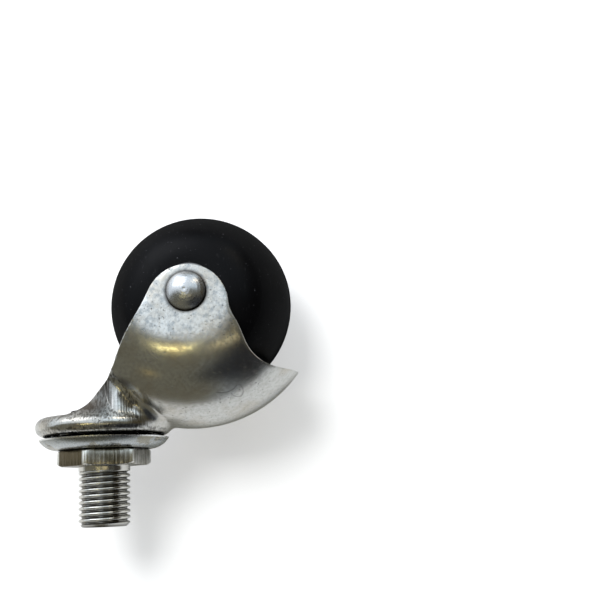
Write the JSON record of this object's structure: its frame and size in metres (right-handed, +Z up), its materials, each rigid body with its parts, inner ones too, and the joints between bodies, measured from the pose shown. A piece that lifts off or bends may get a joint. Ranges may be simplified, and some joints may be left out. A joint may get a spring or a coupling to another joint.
{
  "type": "ball castor",
  "caption": "Hooded swivel ball castor: black rubber ball between the ears of a pressed zinc-plated steel yoke, under a saucer race, hexagon and threaded stem.",
  "frame": {"origin": "centre of the hexagon's upper face, on the swivel axis, where the stem seats on a leg", "axes": "+Z up the stem, +Y along the axle, +X forward, so the ball trails towards -X"},
  "size_m": [0.069, 0.0502, 0.0797],
  "materials": {
    "yoke_zinc": "bright zinc plate, mottled and pitted, satin",
    "race_zinc": "bright zinc plate, satin, scuffed",
    "stem_steel": "turned steel, zinc plated, dull",
    "rivet_steel": "spun dome, polished",
    "bearing_steel": "polished, greased",
    "ball_rubber": "moulded, satin, dusty"
  },
  "bodies": {
    "stem": {"threaded_stem": "stem_steel", "top_race": "race_zinc", "retaining_washer": "race_zinc"},
    "bearing_ring": {"bearing_ball_01": "bearing_steel", "bearing_ball_02": "bearing_steel", "bearing_ball_03": "bearing_steel", "bearing_ball_04": "bearing_steel", "bearing_ball_05": "bearing_steel", "bearing_ball_06": "bearing_steel", "bearing_ball_07": "bearing_steel", "bearing_ball_08": "bearing_steel", "bearing_ball_09": "bearing_steel", "bearing_ball_10": "bearing_steel", "bearing_ball_11": "bearing_steel", "bearing_ball_12": "bearing_steel", "bearing_ball_13": "bearing_steel"},
    "fork": {"yoke": "yoke_zinc", "axle_rivet": "rivet_steel", "spacer_washer_left": "race_zinc", "spacer_washer_right": "race_zinc"},
    "wheel": {"ball_wheel": "ball_rubber", "axle_sleeve": "stem_steel"}
  },
  "joints": [
    {"name": "swivel", "type": "hinge", "parent": "stem", "child": "fork", "pos_m": [0, 0, 0], "axis": [0, 0, 1], "continuous": true},
    {"name": "ring_roll", "type": "hinge", "parent": "stem", "child": "bearing_ring", "pos_m": [0, 0, 0], "axis": [0, 0, 1], "continuous": true},
    {"name": "wheel_spin", "type": "hinge", "parent": "fork", "child": "wheel", "pos_m": [-0.0263, 0, -0.0405], "axis": [0, 1, 0], "continuous": true}
  ],
  "couplings": [
    {"joint": "ring_roll", "follows": "swivel", "ratio": 0.5}
  ]
}
